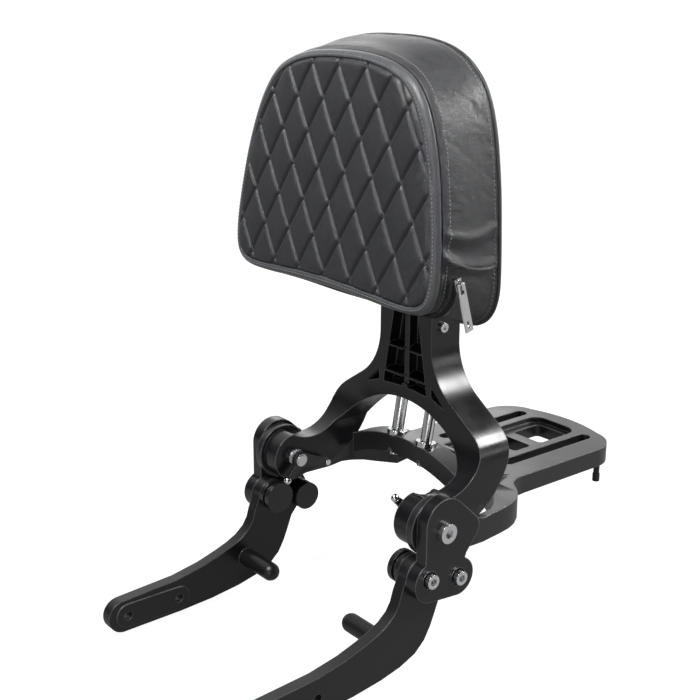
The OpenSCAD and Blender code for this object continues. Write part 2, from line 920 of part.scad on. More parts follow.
// grooved docking spool on bolt axis d, running inboard from the arm
module spool(d, len_x, r) {
    translate([spool_out, d[0], d[1]])
        rotate([0, -90, 0])
            difference() {
                cylinder(h = len_x, r = r, $fn = 96);
                translate([0, 0, len_x - 9])
                    difference() {
                        cylinder(h = 3.6, r = r + 2, $fn = 96);
                        translate([0, 0, -1])
                            cylinder(h = 6, r = r - 3, $fn = 96);
                    }
                translate([0, 0, -1])
                    cylinder(h = len_x - 3, r = dock_r + 0.05, $fn = 64);
            }
}

module spool_front_left() {
    color("#1f2022")
        at_origin()
            spool(dock[0], 14, spool_r);
}

module spool_front_right() {
    color("#1f2022")
        at_origin()
            mirror([1, 0, 0])
                spool(dock[0], 14, spool_r);
}

module spool_rear_left() {
    color("#1f2022")
        at_origin()
            spool(dock[1], 14, spool_r - 1.5);
}

module spool_rear_right() {
    color("#1f2022")
        at_origin()
            mirror([1, 0, 0])
                spool(dock[1], 14, spool_r - 1.5);
}

module dock_bolts() {
    color("#c9ccd0")
        at_origin()
            both()
                for (d = dock) {
                    rod_x(spool_out - 9, plate_out - 2.9, d[0], d[1], dock_r);
                    difference() {
                        rod_x(plate_out - 2.95, plate_out + 5, d[0], d[1], 6.5);
                        hex_x(plate_out + 1, plate_out + 6, d[0], d[1], 3.6);
                    }
                }
}

// side view of a bracket arm
module arm_side() {
    difference() {
        union() {
            disc(dock[0][0], dock[0][1], 15.5);
            disc(dock[1][0], dock[1][1], 14);
            polygon([[-32.5, -41], [-38, -54], [-41, -64], [-46, -72], [-55, -79.5],
                [-66, -85], [-80, -90], [-100, -96], [-130, -101.5], [-190, -105],
                [-190, -137], [-128, -136], [-92, -134], [-60, -130], [-38, -125],
                [-21, -118], [-10, -108], [-3, -96], [2, -84], [7, -71], [14, -63],
                [29, -55], [17, -37], [-17, -28]]);
            disc(-190, -121, 16);
        }
        for (d = dock)
            disc(d[0], d[1], dock_bore);
        for (h = fix)
            disc(h[0], h[1], fix_r);
    }
}

// outline of the raised seat
module slot_seat() {
    polygon([[fix[0][0], fix[0][1] - 12], [fix[0][0], fix[0][1] + 12], [fix[1][0], fix[1][1] + 12],
        [fix[1][0], fix[1][1] - 12]]);
    for (h = fix)
        disc(h[0], h[1], 12);
}

module bracket_body() {
    union() {
        along_x(arm_in, arm_in + arm_t)
            arm_side();
        // raised seat round the two bolt holes
        difference() {
            along_x(arm_in - 1.2, arm_in + 1)
                slot_seat();
            for (h = fix)
                rod_x(arm_in - 3, arm_in + 3, h[0], h[1], fix_r);
        }
        // inboard spigot with a domed end
        rod_x(64, arm_in + 2, -50, -101, 9);
        translate([64, -50, -101])
            sphere(r = 9, $fn = 64);
    }
}

module bracket_left() {
    color("#1e1f21")
        at_origin()
            bracket_body();
}

module bracket_right() {
    color("#1e1f21")
        at_origin()
            mirror([1, 0, 0])
                bracket_body();
}

mast();
mast_screws();
pad_board();
pad_foam();
pad_cover();
pad_panel();
pad_border();
pad_bolts();
zip_tape();
zip_slider();
zip_pull();
rack();
rack_pegs();
post_left();
post_right();
post_flanges();
post_screws();
plate_left();
plate_right();
pivot_bolts();
pivot_nuts();
lever_left();
lever_right();
tips_left();
tips_right();
spool_front_left();
spool_rear_left();
spool_front_right();
spool_rear_right();
dock_bolts();
bracket_left();
bracket_right();
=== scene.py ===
# Passenger backrest with luggage rack: looks, light and camera.
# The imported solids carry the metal's shape. The pad's quilted skin, its seams, stitches and zip are
# made here. The file goes up the object as it is bolted together: arms, rack, mast, latches, pad.
import math
import bmesh
import bpy
import numpy as np
from mathutils import Matrix, Vector


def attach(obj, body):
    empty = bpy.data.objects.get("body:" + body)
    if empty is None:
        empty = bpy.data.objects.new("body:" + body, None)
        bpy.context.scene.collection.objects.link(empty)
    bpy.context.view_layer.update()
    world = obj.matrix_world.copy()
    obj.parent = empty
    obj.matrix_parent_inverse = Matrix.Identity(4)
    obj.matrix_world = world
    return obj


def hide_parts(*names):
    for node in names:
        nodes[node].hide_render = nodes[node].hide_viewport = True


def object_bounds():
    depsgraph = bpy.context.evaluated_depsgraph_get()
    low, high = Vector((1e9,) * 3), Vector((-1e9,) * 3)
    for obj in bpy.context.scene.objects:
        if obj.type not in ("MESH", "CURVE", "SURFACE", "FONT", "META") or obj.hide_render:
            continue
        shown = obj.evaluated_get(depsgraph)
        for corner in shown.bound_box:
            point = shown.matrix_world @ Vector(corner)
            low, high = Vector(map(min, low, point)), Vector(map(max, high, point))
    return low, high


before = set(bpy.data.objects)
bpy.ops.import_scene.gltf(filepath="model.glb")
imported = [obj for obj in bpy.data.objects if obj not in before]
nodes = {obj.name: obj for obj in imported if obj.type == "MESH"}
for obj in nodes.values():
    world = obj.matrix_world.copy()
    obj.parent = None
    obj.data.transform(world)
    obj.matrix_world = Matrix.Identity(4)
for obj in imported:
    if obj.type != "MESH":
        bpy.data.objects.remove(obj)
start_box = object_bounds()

scene = bpy.context.scene

# Bracket arms, side plates and docking spools
# Steel arms and cast alloy plates under a satin black coat, with turned steel spools bolted on.
# The coat is sprayed: a faint orange peel and fine dust in the gloss. Its edges are painted paler, in
# blotches, as a painted edge highlight.
def group(name, inputs, outputs):
    """Empty node group with number inputs (name, start value) and outputs (name, kind)."""
    tree = bpy.data.node_groups.new(name, "ShaderNodeTree")
    for label, value in inputs:
        tree.interface.new_socket(label, in_out="INPUT", socket_type="NodeSocketFloat").default_value = value
    for label, kind in outputs:
        tree.interface.new_socket(label, in_out="OUTPUT", socket_type="NodeSocket" + kind)
    return tree, tree.nodes.new("NodeGroupInput"), tree.nodes.new("NodeGroupOutput")


def feed(tree, node, values):
    """Sets inputs of the node; values are (input, number or socket to join) pairs."""
    for key, value in values:
        if isinstance(value, bpy.types.NodeSocket):
            tree.links.new(value, node.inputs[key])
        else:
            node.inputs[key].default_value = value


def add_node(tree, kind, values=(), **settings):
    """New node with these settings, and inputs as in feed."""
    node = tree.nodes.new("ShaderNode" + kind)
    for key, value in settings.items():
        setattr(node, key, value)
    feed(tree, node, values)
    return node


def noise(tree, where, scale, detail):
    """Noise at the places where, scale cells to the metre."""
    return add_node(tree, "TexNoise", (("Vector", where), ("Scale", scale), ("Detail", detail)))


def spread(tree, value, low, high, top=0.7):
    """The value's middle range, from 0.3 to top, spread from low to high."""
    return add_node(tree, "MapRange", (("Value", value), ("From Min", 0.3), ("From Max", top),
                                       ("To Min", low), ("To Max", high))).outputs[0]


def tinted(tree, amount, color, other):
    """Colour that goes from color to other by amount."""
    return add_node(tree, "Mix", ((0, amount), (6, (*color, 1)), (7, (*other, 1))),
                    data_type="RGBA").outputs[2]


def blank(name):
    """New material, its node tree and its shader."""
    mat = bpy.data.materials.new(name)
    mat.use_nodes = True
    return mat, mat.node_tree, mat.node_tree.nodes["Principled BSDF"]


# Sprayed coat: Height is coarse peel plus fine specks, Patch is a slow blotch from 0 to 1
coat_group, coat_in, coat_out = group("sprayed_coat", (("Peel Scale", 700.0), ("Speck Scale", 2600.0)),
                                      (("Height", "Float"), ("Patch", "Float")))
place = add_node(coat_group, "TexCoord").outputs["Object"]
peel = noise(coat_group, place, coat_in.outputs["Peel Scale"], 2.0)
speck = noise(coat_group, place, coat_in.outputs["Speck Scale"], 1.0)
blotch = noise(coat_group, place, 28.0, 3.0)
both = add_node(coat_group, "Math", ((0, peel.outputs[0]), (1, 0.6)), operation="MULTIPLY")
both = add_node(coat_group, "Math", ((0, speck.outputs[0]), (1, 0.4), (2, both.outputs[0])),
                operation="MULTIPLY_ADD")
feed(coat_group, coat_out, (("Height", both.outputs[0]), ("Patch", blotch.outputs[0])))

# Eased edge: Normal is the shape's own with its edges rounded over Radius, Mask is 1 on the edges
edge_group, edge_in, edge_out = group("eased_edge", (("Radius", 0.001),),
                                      (("Normal", "Vector"), ("Mask", "Float")))
bevel = add_node(edge_group, "Bevel", (("Radius", edge_in.outputs["Radius"]),), samples=6)
shape = add_node(edge_group, "NewGeometry")
same = add_node(edge_group, "VectorMath", ((0, bevel.outputs[0]), (1, shape.outputs["Normal"])),
                operation="DOT_PRODUCT")
off = add_node(edge_group, "MapRange", (("Value", same.outputs["Value"]), ("From Min", 0.995),
                                        ("From Max", 0.86)))
feed(edge_group, edge_out, (("Normal", bevel.outputs[0]), ("Mask", off.outputs[0])))


def coated(name, color, edge_highlight_color, rough, peel_depth, radius, coat=0.0, coat_rough=0.2, level=0.5):
    """Sprayed metal: colour goes from color to the paler edge colour by the edge mask times a blotch, a
    painted edge highlight; roughness is rough plus or minus 0.07 by the blotch, and the bump is the peel on
    the eased normal."""
    mat, tree, shader = blank(name)
    spray = add_node(tree, "Group", node_tree=coat_group)
    ease = add_node(tree, "Group", (("Radius", radius),), node_tree=edge_group)
    # the paler edge colour is a painted highlight along every edge, patchy by the blotch
    highlight_blotch = spread(tree, spray.outputs["Patch"], 0.45, 1.0, 0.6)
    edge_highlight = add_node(tree, "Math", ((0, ease.outputs["Mask"]), (1, highlight_blotch)), operation="MULTIPLY")
    bump = add_node(tree, "Bump", (("Strength", 0.3), ("Distance", peel_depth),
                                   ("Height", spray.outputs["Height"]), ("Normal", ease.outputs["Normal"])))
    feed(tree, shader, (("Base Color", tinted(tree, edge_highlight.outputs[0], color, edge_highlight_color)),
                        ("Roughness", spread(tree, spray.outputs["Patch"], rough - 0.07, rough + 0.07)),
                        ("Normal", bump.outputs[0]), ("Specular IOR Level", level),
                        ("Coat Weight", coat), ("Coat Roughness", coat_rough)))
    return mat


def finish(mat, *names):
    """Gives the named solids the material in place of the plain one."""
    for name in names:
        nodes[name].data.materials.clear()
        nodes[name].data.materials.append(mat)


def new_piece(name, mesh, mat):
    """Object for the mesh, in the material, that rides on the frame."""
    mesh.materials.clear()
    mesh.materials.append(mat)
    piece = bpy.data.objects.new(name, mesh)
    scene.collection.objects.link(piece)
    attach(piece, "frame")
    return piece


def rebuilt(mesh, *steps):
    """Runs the steps on the mesh as an editable one, and writes it back with smooth faces."""
    build = bmesh.new()
    build.from_mesh(mesh)
    for step in steps:
        step(build)
    build.to_mesh(mesh)
    build.free()
    mesh.polygons.foreach_set("use_smooth", np.ones(len(mesh.polygons), dtype=bool))


def merged(gap):
    """Step for rebuilt: points closer than gap become one."""
    return lambda build: bmesh.ops.remove_doubles(build, verts=build.verts, dist=gap)


def flattened(build):
    """Step for rebuilt: neighbouring faces within 0.4 degrees of flat become one."""
    bmesh.ops.dissolve_limit(build, angle_limit=math.radians(0.4), verts=build.verts, edges=build.edges)


def outward_faces(build):
    """Step for rebuilt: every face looks outwards."""
    bmesh.ops.recalc_face_normals(build, faces=build.faces)


def smoothed(mat, *names):
    """Merged copy of each named solid, in place of it, with round surfaces shaded as round: only
    edges that turn more than 30 degrees stay sharp."""
    for name in names:
        mesh = nodes[name].data.copy()
        mesh.name = name + "_cast"
        rebuilt(mesh, merged(2e-6), flattened)
        mesh.set_sharp_from_angle(angle=math.radians(30))
        piece = new_piece(name + "_cast", mesh, mat)
        even = piece.modifiers.new("even", "WEIGHTED_NORMAL")
        even.weight, even.keep_sharp = 100, True
        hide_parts(name)


smoothed(coated("bracket_black", (0.006, 0.0062, 0.007), (0.10, 0.10, 0.10), 0.34, 0.00005, 0.0015),
         "bracket_left", "bracket_right")
cast_black = coated("satin_black", (0.006, 0.0062, 0.0072), (0.16, 0.165, 0.175), 0.29, 0.00004, 0.0018,
                    0.15, 0.2, 0.42)
smoothed(cast_black, "plate_left", "plate_right")
finish(coated("spool_black", (0.010, 0.010, 0.011), (0.06, 0.06, 0.06), 0.28, 0.00005, 0.0006, 0.3, 0.12),
       "spool_front_left", "spool_rear_left", "spool_front_right", "spool_rear_right")

# Docking bolts, and the other screws and nuts
# Bright zinc on steel: fine drawn marks, a little haze, and eased edges.
def bright(name, color, rough, drawn_out, radius):
    """Bare or plated metal: roughness is rough plus a blotch, and the bump is fine noise with marks
    drawn_out times finer one way than the others."""
    mat, tree, shader = blank(name)
    spray = add_node(tree, "Group", (("Peel Scale", 900.0), ("Speck Scale", 4000.0)), node_tree=coat_group)
    ease = add_node(tree, "Group", (("Radius", radius),), node_tree=edge_group)
    spot = add_node(tree, "TexCoord").outputs["Object"]
    drawn = add_node(tree, "Mapping", (("Vector", spot), ("Scale", (drawn_out, 1.0, 1.0))))
    marks = noise(tree, drawn.outputs[0], 500.0, 2.0)
    duller = (color[0] * 0.86, color[1] * 0.87, color[2] * 0.88)
    bump = add_node(tree, "Bump", (("Strength", 0.35), ("Distance", 0.00004), ("Height", marks.outputs[0]),
                                   ("Normal", ease.outputs["Normal"])))
    feed(tree, shader, (("Base Color", tinted(tree, spray.outputs["Patch"], color, duller)),
                        ("Roughness", spread(tree, spray.outputs["Patch"], rough * 0.75, rough * 1.35)),
                        ("Normal", bump.outputs[0]), ("Metallic", 1.0)))
    return mat


finish(bright("bright_steel", (0.80, 0.80, 0.81), 0.24, 6.0, 0.0005),
       "dock_bolts", "mast_screws", "post_screws", "pivot_bolts", "pivot_nuts", "pad_bolts")

# Luggage rack and its pegs
# One alloy casting, sprayed a little more matt than the mast; the pegs under it are rubber.
smoothed(coated("rack_black", (0.012, 0.012, 0.0125), (0.17, 0.17, 0.17), 0.34, 0.00006, 0.0018, 0.25, 0.2),
         "rack")
finish(coated("peg_rubber", (0.018, 0.018, 0.018), (0.03, 0.03, 0.03), 0.72, 0.0002, 0.0005), "rack_pegs")

# Posts between rack and mast
# Turned steel, polished, with grooves cut in them and a flange ring at each foot. The lever tips are
# polished in the same way.
finish(bright("polished_steel", (0.86, 0.86, 0.87), 0.11, 1.0, 0.0005), "post_left", "post_right",
       "post_flanges", "tips_left", "tips_right")

# Mast and latch levers
# The mast is one alloy casting; the levers are steel with a finer coat.
smoothed(cast_black, "mast")
finish(coated("lever_black", (0.011, 0.011, 0.012), (0.06, 0.06, 0.06), 0.30, 0.00006, 0.0007, 0.3, 0.12),
       "lever_left", "lever_right")

# Pad board and foam
# A moulded base board takes the pad bolts, and a cut foam block fills the skin in front of it.
finish(coated("board_plastic", (0.035, 0.034, 0.032), (0.06, 0.06, 0.06), 0.62, 0.0003, 0.001), "pad_board")

MM = 0.001
# the pad is drawn in millimetres from the pivot axis, which stands here in the part's own frame
PAD_FROM = np.array([0.0, 186.0, 121.0])
# the front of the padding stands at FRONT_Y at the height ROW_Z and leans back LEAN for each millimetre
# up; that is 6.5 mm proud of the solids, as the wadding is on the real pad
FRONT_Y, LEAN, ROW_Z = -26.5, 0.096, 273
# the flat back, and the ends of the middle line that the outlines shrink towards
BACK_Y, MIDDLE = 59, (240, 330)
# right half of each outline, x and z, from top middle round to bottom middle
rear_half = np.array([[0, 412.5], [24, 412.2], [49, 410], [74, 404], [95, 392.5], [111, 374], [122, 344],
                      [129, 300], [132, 260], [133.5, 220], [132, 199], [126, 186], [116, 177.5],
                      [100, 173], [60, 171], [0, 170.5]])
outer_half = np.array([[0, 403], [25, 402.3], [47, 400], [71, 394.5], [93, 384], [110, 365], [123, 338],
                       [133, 303], [140, 262], [142.5, 235], [141, 215], [134, 203], [119, 197],
                       [90, 196], [45, 197.5], [0, 198]])
inner_half = np.array([[0, 396.5], [25, 395.8], [45, 393.5], [67, 388], [88, 377], [104, 357], [116, 331],
                       [126, 299], [133, 262], [135.5, 236], [133.5, 217], [126.5, 208], [112, 204],
                       [88, 204.5], [45, 206.5], [0, 207.5]])


def unit(v):
    """Each vector at length 1."""
    return v / np.linalg.norm(v, axis=-1, keepdims=True)


def run_along(line):
    """Distance along the line at each of its points."""
    return np.concatenate(([0], np.cumsum(np.linalg.norm(np.diff(line, axis=0), axis=1))))


def at_run(values, run, at):
    """Rows of values, one for each place in run, read off at the places at."""
    return np.stack([np.interp(at, run, column) for column in values.T], -1)


def cubic(p, q, r, s, f):
    """Part f of the way from q to r on the smooth curve through p, q, r and s."""
    return 0.5 * (2 * q + (r - p) * f + (2 * p - 5 * q + 4 * r - s) * f**2 + (3 * q - p - 3 * r + s) * f**3)


def outline(half, turn):
    """Closed outline at the places turn (0 top, 15 bottom, 30 top again): a cubic through the half
    outline's points and their mirror images."""
    ring = np.concatenate((half, half[-2:0:-1] * (-1, 1)))
    i = np.floor(turn).astype(int)
    return cubic(*(ring[(i + k) % len(ring)] for k in (-1, 0, 1, 2)), (turn - i)[:, None])


def outlines(turns):
    """The rear, outer and inner outlines at the places turns."""
    return [outline(half, turns) for half in (rear_half, outer_half, inner_half)]


def even_turns(half, count):
    """Places on the outline that are the same distance apart along it."""
    fine = np.linspace(0, 30, 3001)
    run = run_along(outline(half, fine))
    return np.interp(np.arange(count) / count * run[-1], run, fine)


def between(front, back, part):
    """Outline part of the way from front to back."""
    return front * (1 - part) + back * part


def from_middle(ring):
    """Each point as seen from the nearest point of the pad's middle line."""
    return ring - np.stack((np.zeros(len(ring)), np.clip(ring[:, 1], *MIDDLE)), -1)


def inset(ring, gap):
    """Outline moved gap towards the pad's middle line."""
    return ring - unit(from_middle(ring)) * gap


def front_y(z):
    """Place of the leaning front plane at height z."""
    return FRONT_Y + LEAN * (z - ROW_Z)


def on_front(ring, depth):
    """Outline laid on the front plane, depth behind it."""
    return np.stack((ring[:, 0], front_y(ring[:, 1]) + depth, ring[:, 1]), -1)


def on_plane(ring, y):
    """Outline laid on an upright plane at y."""
    return np.stack((ring[:, 0], np.full(len(ring), float(y)), ring[:, 1]), -1)


def across(rings, count):
    """Rows carried through the given rings by a cubic, evenly spaced by the rings' mean distance."""
    keys = np.array(rings)
    run = np.concatenate(([0], np.cumsum(np.linalg.norm(np.diff(keys, axis=0), axis=2).mean(1))))
    at = np.interp(np.linspace(0, run[-1], count), run, np.arange(len(keys)))
    i = np.minimum(np.floor(at).astype(int), len(keys) - 2)
    keys = np.concatenate((2 * keys[:1] - keys[1:2], keys, 2 * keys[-1:] - keys[-2:-1]))
    return cubic(*(keys[i + k] for k in (0, 1, 2, 3)), (at - i)[:, None, None])


def grid_faces(rows, cols, closed=True):
    """Quads between each point of a grid and the next along the row and the next row."""
    k = np.arange(rows * cols).reshape(rows, cols)
    quads = np.stack((k[:-1], np.roll(k[:-1], -1, 1), np.roll(k[1:], -1, 1), k[1:]), -1)
    return (quads if closed else quads[:, :-1]).reshape(-1, 4)


def skin_piece(name, points, faces, mat, uv=None):
    """Piece from points in the pad's millimetres, faces by index and one uv for each point; points
    that coincide are made one."""
    mesh = bpy.data.meshes.new(name)
    mesh.from_pydata(((points.reshape(-1, 3) + PAD_FROM) * MM).tolist(), [], faces.tolist())
    if uv is not None:
        layer = mesh.uv_layers.new(name="cloth")
        corner = np.empty(len(mesh.loops), dtype=np.int32)
        mesh.loops.foreach_get("vertex_index", corner)
        layer.data.foreach_set("uv", uv[corner].astype(np.float32).ravel())
    rebuilt(mesh, merged(1e-6))
    return new_piece(name, mesh, mat)


def grained(name, color, pale, rough, scale, depth, level=0.5):
    """Soft grained sheet: cells scale to the metre with creases between them, depth deep; the colour
    goes towards pale on the cell tops and in slow blotches."""
    mat, tree, shader = blank(name)
    spot = add_node(tree, "TexCoord").outputs["Object"]
    warp = noise(tree, spot, scale * 0.4, 2.0)
    bent = add_node(tree, "Mix", ((0, 0.0012), (4, spot), (5, warp.outputs["Color"])), data_type="VECTOR")
    cell = add_node(tree, "TexVoronoi", (("Vector", bent.outputs[1]), ("Scale", scale)),
                    feature="DISTANCE_TO_EDGE")
    top = add_node(tree, "MapRange", (("Value", cell.outputs["Distance"]), ("From Max", 0.22)),
                   interpolation_type="SMOOTHSTEP")
    slow = noise(tree, spot, 22.0, 4.0)
    fine = noise(tree, spot, scale * 4, 1.0)
    amount = add_node(tree, "Math", ((0, top.outputs[0]), (1, slow.outputs[0])), operation="MULTIPLY")
    lift = add_node(tree, "Math", ((0, fine.outputs[0]), (1, 0.25), (2, top.outputs[0])),
                    operation="MULTIPLY_ADD")
    bump = add_node(tree, "Bump", (("Strength", 0.80), ("Distance", depth), ("Height", lift.outputs[0])))
    feed(tree, shader, (("Base Color", tinted(tree, amount.outputs[0], color, pale)),
                        ("Roughness", spread(tree, slow.outputs[0], rough - 0.05, rough + 0.08)),
                        ("Normal", bump.outputs[0]), ("Specular IOR Level", level)))
    return mat


foam_turns = even_turns(outer_half, 96)
rear, outer, inner = outlines(foam_turns)
foam_rows = across([on_front(inset(outer, 132) * (0.001, 1), 12), on_front(inset(outer, 14), 11),
                    on_front(inset(outer, 7), 14), on_plane(inset(between(outer, rear, 0.6), 4), 30),
                    on_plane(inset(rear, 6), 44), on_plane(inset(rear, 12), 46)], 26)
# both ends close in one point
foam_rows = np.concatenate((foam_rows[:1] * 0 + foam_rows[0].mean(0), foam_rows,
                            foam_rows[-1:] * 0 + foam_rows[-1].mean(0)))
foam = skin_piece("foam_block", foam_rows, grid_faces(len(foam_rows), len(foam_turns)),
                  grained("foam", (0.30, 0.30, 0.27), (0.46, 0.45, 0.41), 0.9, 900.0, 0.0006))
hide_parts("pad_foam")

# Pad cover: flanks and back
# Grained black vinyl pulled tight over the foam. It is sewn to the border in front and along a welt at
# the rear, and a fold crosses each flank low down, over the zip.
def read_points(mesh):
    """Places of the mesh's points, one row each."""
    points = np.empty(len(mesh.vertices) * 3)
    mesh.vertices.foreach_get("co", points)
    return points.reshape(-1, 3)


def write_points(mesh, points):
    """Puts the mesh's points at these places."""
    mesh.vertices.foreach_set("co", points.ravel())
    mesh.update()


def blow_up(piece, pinned, slack, pressure, cap):
    """Lets the piece's cloth grow by slack and fill with air for 20 frames, held at the pinned points. Each
    point then keeps its motion, brought down smoothly to less than cap metres: cap tanh(move / cap)."""
    start = read_points(piece.data)
    pins = piece.vertex_groups.new(name="pins")
    pins.add(np.flatnonzero(pinned).tolist(), 1.0, "REPLACE")
    cloth = piece.modifiers.new("air", "CLOTH")
    made = cloth.settings
    made.quality = 6
    made.mass = 0.0005
    made.tension_stiffness = made.compression_stiffness = 15
    made.bending_stiffness = 0.2
    made.shrink_min = -slack
    made.use_pressure = True
    made.uniform_pressure_force = pressure
    made.effector_weights.gravity = 0
    made.vertex_group_mass = "pins"
    for step in range(1, 21):
        scene.frame_set(step)
    full = piece.evaluated_get(bpy.context.evaluated_depsgraph_get())
    move = read_points(full.data) - start
    long = np.linalg.norm(move, axis=1, keepdims=True) + 1e-9
    piece.modifiers.remove(cloth)
    piece.vertex_groups.remove(pins)
    write_points(piece.data, start + move / long * cap * np.tanh(long / cap))
    scene.frame_set(1)


def double_skin(piece, wall, rounds=0):
    """Gives the sheet its own thickness on the inside, after so many rounds of subdivision."""
    if rounds:
        finer = piece.modifiers.new("subsurf", "SUBSURF")
        finer.levels = finer.render_levels = rounds
    thick = piece.modifiers.new("solidify", "SOLIDIFY")
    thick.thickness, thick.offset = wall, -1


vinyl = grained("vinyl", (0.011, 0.0115, 0.0135), (0.025, 0.026, 0.030), 0.35, 1100.0, 0.00013, 0.68)
AROUND, ROWS = 360, 25
turns = even_turns(outer_half, AROUND)
rear, outer, inner = outlines(turns)
# without the cloth run the flanks are drawn as full as it leaves them
crown = 0.55
cover = across([on_front(inset(outer, 2.6), 8.5), on_front(inset(outer, 0.8), 6.6),
                on_front(inset(outer, -0.4), 9.5),
                on_front(inset(between(outer, rear, 0.15), -2.8 * crown), 24.5),
                on_plane(inset(between(outer, rear, 0.72), -3.4 * crown), 33),
                on_plane(inset(rear, -0.4), 49)], ROWS)

# past: millimetres down the flank from the fold, for each point; share: 0 in front, 1 at the rear. The
# fold bows up to 4 mm down in mid-flank and starts 7 mm higher at the front seam.
side_turns = np.linspace(0, 15, 901)
side_run = run_along(outline(outer_half, side_turns))
reach = np.interp(np.minimum(turns, 30 - turns), side_turns, side_run)
fold_at = np.interp(8.75, side_turns, side_run)
share = np.linspace(0, 1, ROWS)[:, None]
past = (reach[None] - fold_at - 4.0 * np.sin(np.pi * np.clip((share - 0.05) / 0.8, 0, 1))
        + 7.0 * (1 - share)**2)
# rise: a ridge above the fold with a dip over it, and the part below tucked in 2.6 mm; crease: a slack
# wave higher up; show: both fade out over the first and last eighth
rise = np.where(past < 0, 2.3 * np.exp(-(past / 4.0)**2) - 0.9 * np.exp(-((past + 9) / 4)**2),
                -2.6 + 1.0 * np.exp(-np.maximum(past, 0) / 0.7))
crease = 2.2 * np.exp(-((past + 20 + 5 * share) / 4.0)**2) - 1.4 * np.exp(-((past + 11 + 5 * share) / 5)**2)
show = np.clip(share / 0.12, 0, 1) * np.clip((1 - share) / 0.12, 0, 1)
out = unit(on_plane(from_middle(outer), 0))

held = (np.arange(ROWS) < 3) | (np.arange(ROWS) > ROWS - 2)
pinned = np.repeat(held[:, None], AROUND, 1) | (np.abs(past) < 1.6)
cover_skin = skin_piece("pad_cover_skin", cover, grid_faces(ROWS, AROUND), vinyl)
blow_up(cover_skin, pinned.ravel(), 0.005, 3, 0.0035)
cover_now = read_points(cover_skin.data).reshape(ROWS, AROUND, 3) / MM - PAD_FROM
cover_now = cover_now + out[None] * ((rise + crease) * show)[..., None]
write_points(cover_skin.data, (cover_now + PAD_FROM) * MM)
double_skin(cover_skin, 0.0012, 1)
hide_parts("pad_cover")

# the back of the cover, flat where the mast's plate bears on it
back_rows = across([on_plane(inset(rear, 0.2), 49.5), on_plane(inset(rear, 1.0), 53.5),
                    on_plane(inset(rear, 3.8), 57.2), on_plane(inset(rear, 9), BACK_Y - 0.2),
                    on_plane(inset(rear, 40), BACK_Y), on_plane(inset(rear, 70), BACK_Y)], 20)
hub = back_rows[-1:] * (0.02, 1, 0) + (0, 0, 290)
back_rows = np.concatenate((back_rows, 0.5 * back_rows[-1:] + 0.5 * hub, hub, hub * 0 + (0, BACK_Y, 290)))
back_skin = skin_piece("pad_back_skin", back_rows, grid_faces(len(back_rows), AROUND), vinyl)
double_skin(back_skin, 0.0012)


def tube_round(name, line, radius, mat, sides=10):
    """Closed round tube along a closed line: line plus radius times (cos out + sin rearward)."""
    ahead = unit(np.roll(line, -1, 0) - np.roll(line, 1, 0))
    rearward = unit(np.array([0.0, 1.0, 0.0]) - ahead * ahead[:, 1:2])
    outward = np.cross(rearward, ahead)
    angle = (np.arange(sides + 1) / sides * 2 * np.pi)[:, None, None]
    rows = line + radius * (np.cos(angle) * outward + np.sin(angle) * rearward)
    return skin_piece(name, rows, grid_faces(sides + 1, len(line))[:, ::-1], mat)


welt = tube_round("pad_welt", on_plane(inset(rear, -0.2), 50.2), 1.5, vinyl)


def bead(name, line, outward, radius, mat, sides=10):
    """Round bead along an open line, closed to a point at each end: line plus radius times
    (cos outward + sin across)."""
    wide = unit(np.cross(unit(np.gradient(line, axis=0)), outward))
    angle = (np.arange(sides) / sides * 2 * np.pi)[:, None]
    to_end = np.minimum(np.arange(len(line)), np.arange(len(line))[::-1])
    size = (radius * np.clip(to_end / 2, 0, 1)**0.5)[:, None, None]
    rows = line[:, None] + size * (np.cos(angle) * outward[:, None] + np.sin(angle) * wide[:, None])
    return skin_piece(name, rows, grid_faces(len(line), sides), mat)


# the fold over the zip: a bead of turned-in vinyl across each flank, along the line where past is -1
for label, half in (("left", slice(1, AROUND // 2)), ("right", slice(AROUND - 1, AROUND // 2, -1))):
    crossing, facing = (np.stack([at_run(values[r, half], past[r, half], -1.0) for r in range(2, ROWS - 1)])
                        for values in (cover_now, np.broadcast_to(out, cover_now.shape)))
    fold = bead("flank_fold_" + label, crossing + facing * 0.5, facing, 1.9, vinyl)

# Pad border
# A plain strip of vinyl, seamed to the quilted panel inside and to the flanks outside; its paler colour is a
# painted sheen where the rounded strip catches the light. It turns from the front towards the flank over 7
# mm.
turned = np.pi / 2 * (0.08 + 0.84 * np.linspace(0, 1, 15))
strip = [on_front(between(inset(inner, 0.5), inset(outer, 0.6), math.sin(q)), 7.0 * (1 - math.cos(q)) - 0.6)
         for q in turned]
strip = np.stack([on_front(inset(inner, 1.6), 3.0), *strip, on_front(inset(outer, 2.2), 8.6)])
# paler and glossier than the flank vinyl: the paleness is a painted sheen, not the strip's own colour
border_vinyl_painted_sheen = grained("border_vinyl_painted_sheen", (0.055, 0.057, 0.063), (0.105, 0.109, 0.118), 0.24, 1100.0, 0.00008)
border = skin_piece("pad_border_skin", strip, grid_faces(len(strip), AROUND), border_vinyl_painted_sheen)
double_skin(border, 0.0009)
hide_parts("pad_border")

# Quilted panel
# Vinyl over thin wadding, sewn through in diamonds 36.8 wide and 59.3 high. The sewing pulls narrow
# valleys, and the wadding swells between them.
WIDE, HIGH = 36.8, 59.3
# distance between two lines of sewing, width of a valley's wall, and steps of the grid from line to line
LINE_GAP, WALL, PER = 31.27, 2.8, 26
steps = np.arange(-7 * PER, 7 * PER + 1)
# a counts the lines of sewing that fall to the right, and b those that rise
a, b = np.meshgrid(steps / PER, steps / PER, indexing="ij")


def on_lines(a, b):
    """x and z of the places a and b, counted in lines of sewing each way."""
    return WIDE / 2 * (a + b), ROW_Z + HIGH / 2 * (a - b)


